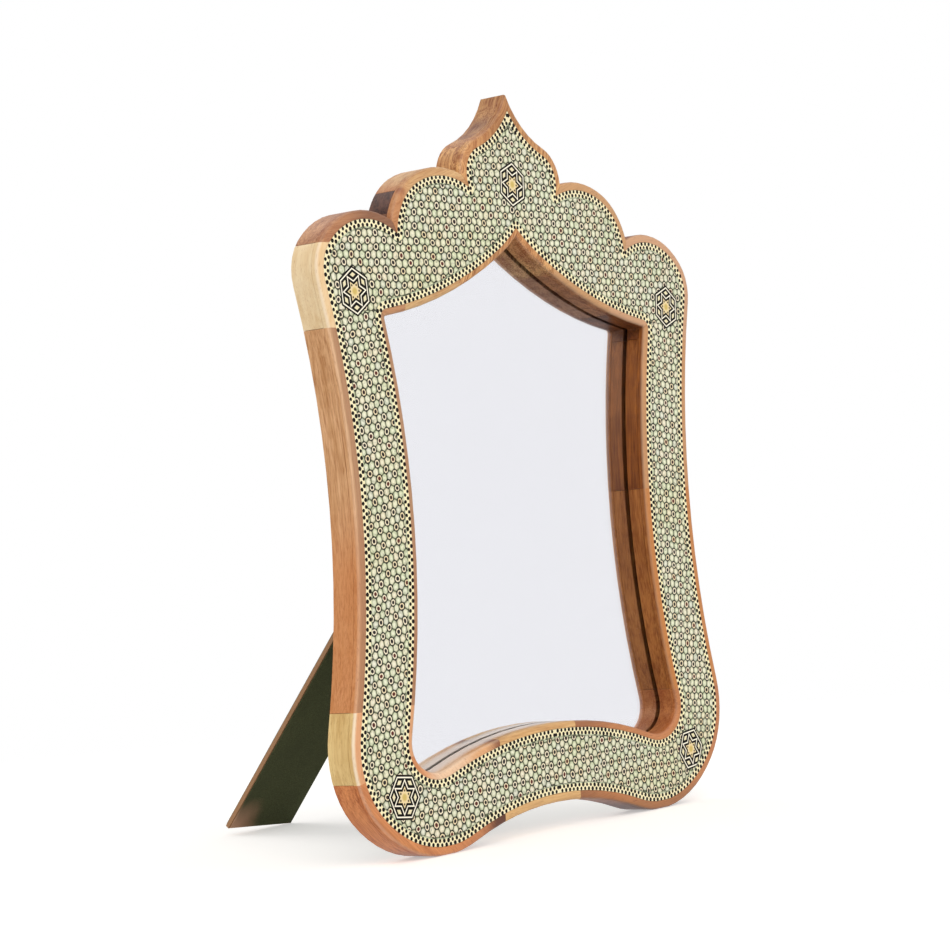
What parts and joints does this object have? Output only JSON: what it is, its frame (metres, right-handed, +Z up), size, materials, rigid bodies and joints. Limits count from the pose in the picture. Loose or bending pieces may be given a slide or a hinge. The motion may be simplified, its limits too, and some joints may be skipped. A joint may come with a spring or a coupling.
{
  "type": "table mirror",
  "caption": "Standing mirror in a shaped wooden frame with marquetry inlay, star medallions and a folding felt-covered leg on a small hinge.",
  "frame": {"origin": "on the floor, at the centre of the footprint of the open mirror: midway between the front face and the foot of the leg", "axes": "+X to the right seen from the front, +Y to the back, +Z up"},
  "size_m": [0.2494, 0.1682, 0.2992],
  "materials": {
    "tan_wood": "satin polish",
    "golden_wood": "satin polish",
    "orange_wood": "satin polish",
    "reddish_wood": "satin polish",
    "rosy_wood": "satin polish",
    "pale_wood": "satin polish",
    "walnut_wood": "satin polish",
    "field_inlay": "polished marquetry",
    "border_inlay": "polished marquetry",
    "star_inlay": "polished marquetry",
    "silvered_glass": "polished",
    "hardboard": "matt",
    "green_felt": "matt",
    "brass": "satin"
  },
  "bodies": {
    "frame": {"crest_block": "tan_wood", "lobe_block_left": "golden_wood", "walnut_block_left": "walnut_wood", "shoulder_block_left": "reddish_wood", "corner_block_left": "pale_wood", "stile_block_left": "orange_wood", "patch_block_left": "pale_wood", "foot_block_left": "orange_wood", "rail_block": "pale_wood", "foot_block_right": "reddish_wood", "stile_block_right_lower": "orange_wood", "stile_block_right_upper": "orange_wood", "shoulder_block_right": "reddish_wood", "lobe_block_right": "golden_wood", "outer_lip_crest": "tan_wood", "outer_lip_lobe_left": "golden_wood", "outer_lip_lobe_right": "tan_wood", "outer_lip_side_left": "rosy_wood", "outer_lip_side_right": "reddish_wood", "outer_lip_bottom": "pale_wood", "inner_lip_arch_left": "tan_wood", "inner_lip_arch_right": "golden_wood", "inner_lip_side_left": "rosy_wood", "inner_lip_side_right": "rosy_wood", "inner_lip_bottom": "pale_wood", "border_crest_left": "border_inlay", "border_crest_right": "border_inlay", "border_lobe_left": "border_inlay", "border_lobe_right": "border_inlay", "border_side_left": "border_inlay", "border_side_right": "border_inlay", "border_arch_left": "border_inlay", "border_arch_right": "border_inlay", "border_opening_left": "border_inlay", "border_opening_right": "border_inlay", "field_top_left": "field_inlay", "field_top_right": "field_inlay", "field_stile_left": "field_inlay", "field_stile_right": "field_inlay", "field_bottom_left": "field_inlay", "field_bottom_right": "field_inlay", "medallion_crest": "star_inlay", "medallion_upper_left": "star_inlay", "medallion_upper_right": "star_inlay", "medallion_lower_left": "star_inlay", "medallion_lower_right": "star_inlay", "mirror_glass": "silvered_glass", "backing_board": "hardboard", "back_felt": "green_felt", "hinge_leaf_frame": "brass", "hinge_pin": "brass", "frame_leaf_screw_left": "brass", "frame_leaf_screw_right": "brass"},
    "leg": {"leg_felt_front": "green_felt", "leg_board": "hardboard", "leg_felt_back": "green_felt", "hinge_leaf_leg": "brass", "leg_leaf_screw_left": "brass", "leg_leaf_screw_right": "brass"}
  },
  "joints": [
    {"name": "leg_hinge", "type": "hinge", "parent": "frame", "child": "leg", "pos_m": [0, -0.06526, 0.16881], "axis": [1, 0, 0], "range_deg": [-40.5, 0]}
  ]
}
